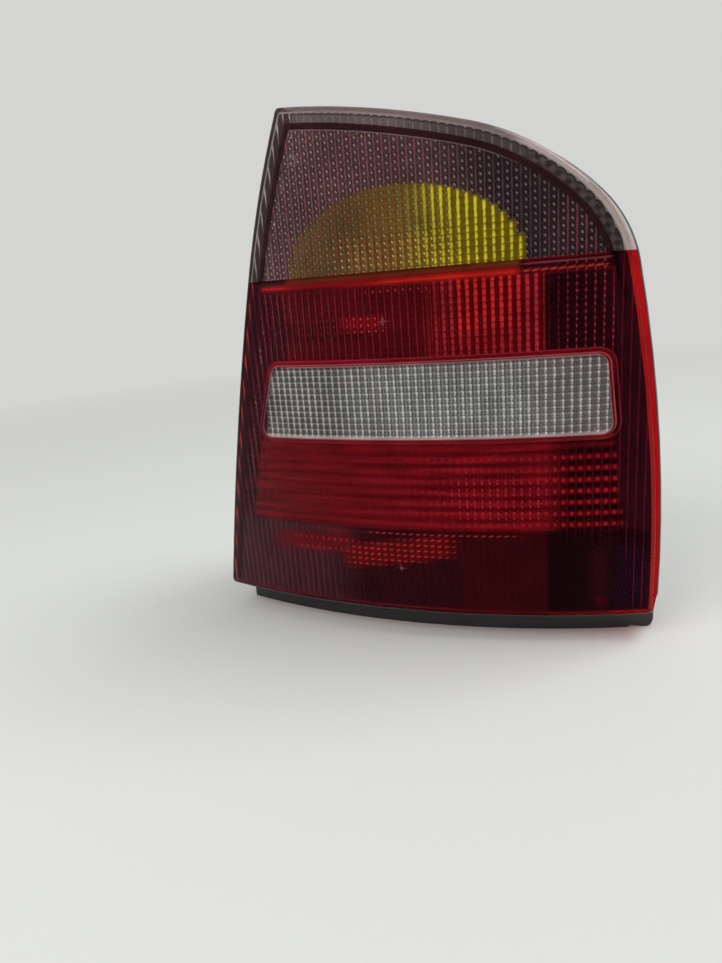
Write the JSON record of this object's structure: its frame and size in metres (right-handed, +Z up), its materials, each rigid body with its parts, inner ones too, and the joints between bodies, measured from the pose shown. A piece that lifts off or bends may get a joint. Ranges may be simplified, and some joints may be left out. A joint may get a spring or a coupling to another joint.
{
  "type": "tail light cluster",
  "caption": "Right-hand tail light cluster with a wrap-round fluted lens in smoked, red and clear, a black housing and a snap-in bulb carrier.",
  "frame": {"origin": "on the mounting face, the gasket's back, in the middle of the four studs", "axes": "+X to the side of the car, +Y into the car body along the studs, +Z up"},
  "size_m": [0.2606, 0.106, 0.2957],
  "materials": {
    "lens_smoke": "clear moulded acrylic with a smoke tint, fluted inside",
    "lens_red": "clear moulded red acrylic, fluted inside",
    "lens_clear": "clear moulded acrylic, fluted inside",
    "reflex_red": "moulded red reflex prisms",
    "amber": "clear moulded amber",
    "metallised": "vacuum metallised plastic",
    "housing_black": "moulded black plastic, fine grain",
    "foam": "closed-cell foam",
    "steel": "zinc-plated steel",
    "rubber_black": "moulded rubber",
    "carrier_grey": "moulded light grey plastic",
    "track_brass": "stamped brass",
    "bulb_cap_brass": "drawn brass",
    "filament_steel": "drawn wire",
    "bulb_amber": "amber coated glass",
    "bulb_clear": "clear glass"
  },
  "bodies": {
    "root": {"lens_smoke": "lens_smoke", "lens_red": "lens_red", "lens_clear": "lens_clear", "reflex_band": "reflex_red", "indicator_filter": "amber", "reflector": "metallised", "housing": "housing_black", "body_gasket": "foam", "mounting_studs": "steel", "breather_caps": "rubber_black", "carrier_seal": "rubber_black", "bulb_carrier": "carrier_grey", "track_ground": "track_brass", "track_indicator": "track_brass", "track_stop": "track_brass", "track_tail": "track_brass", "track_reverse": "track_brass", "track_fog": "track_brass", "indicator_bulb_cap": "bulb_cap_brass", "indicator_bulb_glass": "bulb_amber", "indicator_bulb_filament": "filament_steel", "stop_bulb_cap": "bulb_cap_brass", "stop_bulb_glass": "bulb_clear", "stop_bulb_filament": "filament_steel", "reverse_bulb_cap": "bulb_cap_brass", "reverse_bulb_glass": "bulb_clear", "reverse_bulb_filament": "filament_steel", "fog_bulb_cap": "bulb_cap_brass", "fog_bulb_glass": "bulb_clear", "fog_bulb_filament": "filament_steel"}
  },
  "joints": []
}
